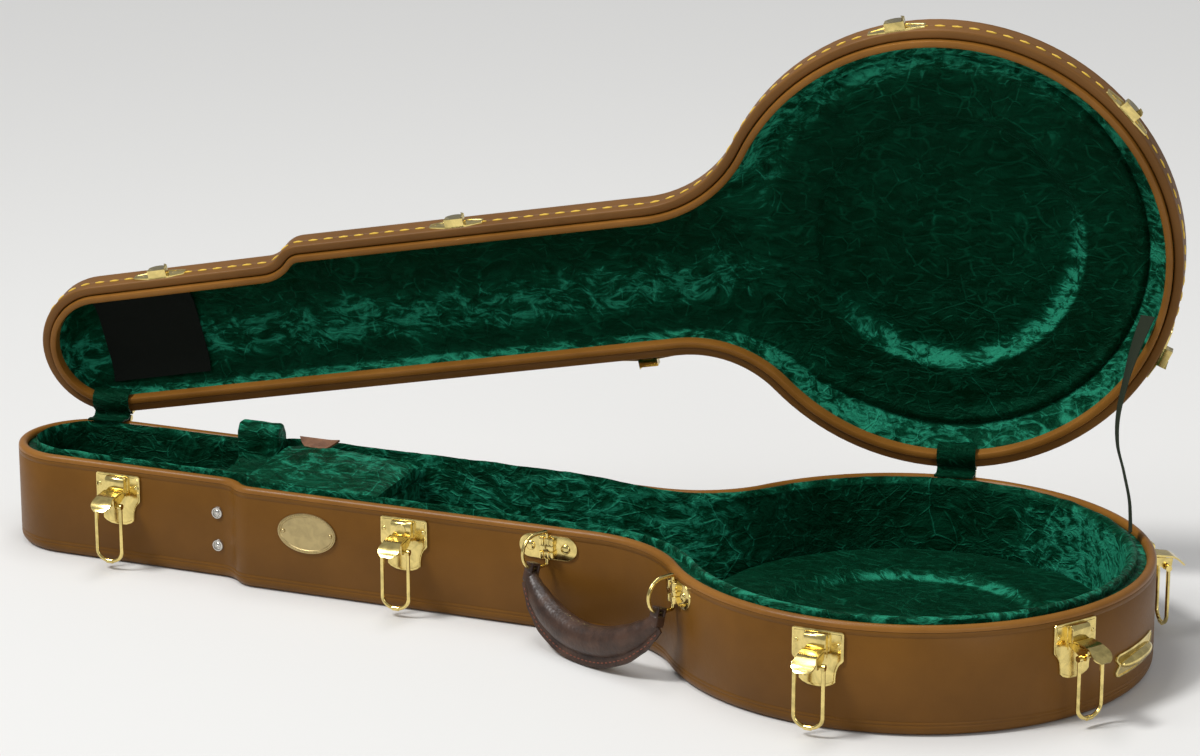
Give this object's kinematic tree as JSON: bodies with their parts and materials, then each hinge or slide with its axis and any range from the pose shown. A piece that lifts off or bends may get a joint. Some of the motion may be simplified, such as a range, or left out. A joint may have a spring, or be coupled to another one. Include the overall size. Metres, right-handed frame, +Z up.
{
  "type": "banjo case",
  "caption": "Hard case shaped to a resonator banjo, hinged lid open, green plush lining, draw latches, leather grip handle and lidded accessory compartment.",
  "frame": {"origin": "on the surface that the case lies on, under the centre of the round pot", "axes": "+X towards the pot end along the case, +Y towards the hinge side, +Z up out of the base"},
  "size_m": [1.0718, 0.4942, 0.5089],
  "materials": {
    "vinyl_shell": "plywood shell covered in satin brown vinyl",
    "rim_binding": "satin vinyl rolled over the rim",
    "plush": "crushed green plush over foam",
    "brass": "polished pale brass plate",
    "antique_brass": "antique brass, satin",
    "nickel": "polished nickel",
    "handle_leather": "padded dark brown leather",
    "tab_leather": "brown leather",
    "loop_patch": "black loop fabric",
    "webbing": "woven dark webbing"
  },
  "bodies": {
    "base": {"base_side": "vinyl_shell", "base_bottom": "vinyl_shell", "base_binding": "rim_binding", "base_lining": "plush", "pot_cushion": "plush", "neck_cradle": "plush", "badge": "antique_brass", "cradle_screw_upper": "nickel", "cradle_screw_lower": "nickel", "handle_plate_left": "brass", "handle_plate_right": "brass", "handle_ring_left": "brass", "handle_ring_right": "brass", "end_foot": "brass", "hinge_head_base_leaf": "brass", "hinge_pot_base_leaf": "brass", "hinge_cover_head": "plush", "hinge_cover_pot": "plush", "stay_strap": "webbing", "latch_a_plate": "brass", "latch_b_plate": "brass", "latch_c_plate": "brass", "latch_d_plate": "brass", "latch_e_plate": "brass", "latch_f_plate": "brass"},
    "lid": {"lid_side": "vinyl_shell", "lid_tongue": "rim_binding", "lid_top": "vinyl_shell", "lid_lining": "plush", "lid_patch": "loop_patch", "hinge_head_lid_leaf": "brass", "hinge_pot_lid_leaf": "brass", "catch_a": "brass", "catch_b": "brass", "catch_c": "brass", "catch_d": "brass", "catch_e": "brass", "catch_f": "brass"},
    "compartment_lid": {"compartment_lid": "plush", "pull_tab": "tab_leather"},
    "handle": {"handle_grip": "handle_leather"},
    "lock_cylinder": {"lock_cylinder": "nickel"},
    "lever_a": {"latch_a_lever": "brass"},
    "pin_a": {"latch_a_pin": "brass"},
    "bail_a": {"latch_a_bail": "brass"},
    "lever_b": {"latch_b_lever": "brass"},
    "pin_b": {"latch_b_pin": "brass"},
    "bail_b": {"latch_b_bail": "brass"},
    "lever_c": {"latch_c_lever": "brass"},
    "pin_c": {"latch_c_pin": "brass"},
    "bail_c": {"latch_c_bail": "brass"},
    "lever_d": {"latch_d_lever": "brass"},
    "pin_d": {"latch_d_pin": "brass"},
    "bail_d": {"latch_d_bail": "brass"},
    "lever_e": {"latch_e_lever": "brass"},
    "pin_e": {"latch_e_pin": "brass"},
    "bail_e": {"latch_e_bail": "brass"},
    "lever_f": {"latch_f_lever": "brass"},
    "pin_f": {"latch_f_pin": "brass"},
    "bail_f": {"latch_f_bail": "brass"}
  },
  "joints": [
    {"name": "lid_hinge", "type": "hinge", "parent": "base", "child": "lid", "pos_m": [-0.03777, 0.20556, 0.092], "axis": [0.9835, 0.1807, 0], "range_deg": [0, 80], "deforming": ["hinge_cover_head", "hinge_cover_pot", "stay_strap"]},
    {"name": "compartment_hinge", "type": "hinge", "parent": "base", "child": "compartment_lid", "pos_m": [-0.53725, -0.0449, 0.085], "axis": [-1, 0, 0], "range_deg": [-95, 0]},
    {"name": "handle_swing", "type": "hinge", "parent": "base", "child": "handle", "pos_m": [-0.29777, -0.09143, 0.075], "axis": [-0.9135, 0.4068, 0], "range_deg": [0, 135]},
    {"name": "key_turn", "type": "hinge", "parent": "base", "child": "lock_cylinder", "pos_m": [-0.42692, -0.08524, 0.0755], "axis": [0.011, -0.9999, 0], "range_deg": [0, 90]},
    {"name": "lever_a_turn", "type": "hinge", "parent": "base", "child": "lever_a", "pos_m": [-0.716, -0.074, 0.065], "axis": [1, 0, 0], "range_deg": [0, 90]},
    {"name": "pin_a_turn", "type": "hinge", "parent": "lever_a", "child": "pin_a", "pos_m": [-0.716, -0.083, 0.06], "axis": [1, 0, 0], "range_deg": [-90, 0]},
    {"name": "bail_a_swing", "type": "hinge", "parent": "pin_a", "child": "bail_a", "pos_m": [-0.716, -0.083, 0.06], "axis": [-1, 0, 0], "range_deg": [0, 180]},
    {"name": "lever_b_turn", "type": "hinge", "parent": "base", "child": "lever_b", "pos_m": [-0.42688, -0.08834, 0.065], "axis": [0.9999, 0.011, 0], "range_deg": [0, 90]},
    {"name": "pin_b_turn", "type": "hinge", "parent": "lever_b", "child": "pin_b", "pos_m": [-0.42679, -0.09734, 0.06], "axis": [0.9999, 0.011, 0], "range_deg": [-90, 0]},
    {"name": "bail_b_swing", "type": "hinge", "parent": "pin_b", "child": "bail_b", "pos_m": [-0.42679, -0.09734, 0.06], "axis": [-0.9999, -0.011, 0], "range_deg": [0, 180]},
    {"name": "lever_c_turn", "type": "hinge", "parent": "base", "child": "lever_c", "pos_m": [-0.00376, -0.21547, 0.065], "axis": [0.9998, -0.0175, 0], "range_deg": [0, 90]},
    {"name": "pin_c_turn", "type": "hinge", "parent": "lever_c", "child": "pin_c", "pos_m": [-0.00392, -0.22447, 0.06], "axis": [0.9998, -0.0175, 0], "range_deg": [-90, 0]},
    {"name": "bail_c_swing", "type": "hinge", "parent": "pin_c", "child": "bail_c", "pos_m": [-0.00392, -0.22447, 0.06], "axis": [-0.9998, 0.0175, 0], "range_deg": [0, 180]},
    {"name": "lever_d_turn", "type": "hinge", "parent": "base", "child": "lever_d", "pos_m": [0.18472, -0.11099, 0.065], "axis": [0.515, 0.8572, 0], "range_deg": [0, 90]},
    {"name": "pin_d_turn", "type": "hinge", "parent": "lever_d", "child": "pin_d", "pos_m": [0.19243, -0.11563, 0.06], "axis": [0.515, 0.8572, 0], "range_deg": [-90, 0]},
    {"name": "bail_d_swing", "type": "hinge", "parent": "pin_d", "child": "bail_d", "pos_m": [0.19243, -0.11563, 0.06], "axis": [-0.515, -0.8572, 0], "range_deg": [0, 180]},
    {"name": "lever_e_turn", "type": "hinge", "parent": "base", "child": "lever_e", "pos_m": [0.17653, 0.12361, 0.065], "axis": [-0.5736, 0.8192, 0], "range_deg": [0, 90]},
    {"name": "pin_e_turn", "type": "hinge", "parent": "lever_e", "child": "pin_e", "pos_m": [0.1839, 0.12877, 0.06], "axis": [-0.5736, 0.8192, 0], "range_deg": [-90, 0]},
    {"name": "bail_e_swing", "type": "hinge", "parent": "pin_e", "child": "bail_e", "pos_m": [0.1839, 0.12877, 0.06], "axis": [0.5736, -0.8192, 0], "range_deg": [0, 180]},
    {"name": "lever_f_turn", "type": "hinge", "parent": "base", "child": "lever_f", "pos_m": [-0.28102, 0.07784, 0.065], "axis": [-1, -0.0076, 0], "range_deg": [0, 90]},
    {"name": "pin_f_turn", "type": "hinge", "parent": "lever_f", "child": "pin_f", "pos_m": [-0.28109, 0.08684, 0.06], "axis": [-1, -0.0076, 0], "range_deg": [-90, 0]},
    {"name": "bail_f_swing", "type": "hinge", "parent": "pin_f", "child": "bail_f", "pos_m": [-0.28109, 0.08684, 0.06], "axis": [1, 0.0076, 0], "range_deg": [0, 180]}
  ],
  "couplings": [
    {"joint": "pin_a_turn", "follows": "lever_a_turn", "ratio": -1},
    {"joint": "pin_b_turn", "follows": "lever_b_turn", "ratio": -1},
    {"joint": "pin_c_turn", "follows": "lever_c_turn", "ratio": -1},
    {"joint": "pin_d_turn", "follows": "lever_d_turn", "ratio": -1},
    {"joint": "pin_e_turn", "follows": "lever_e_turn", "ratio": -1},
    {"joint": "pin_f_turn", "follows": "lever_f_turn", "ratio": -1}
  ]
}
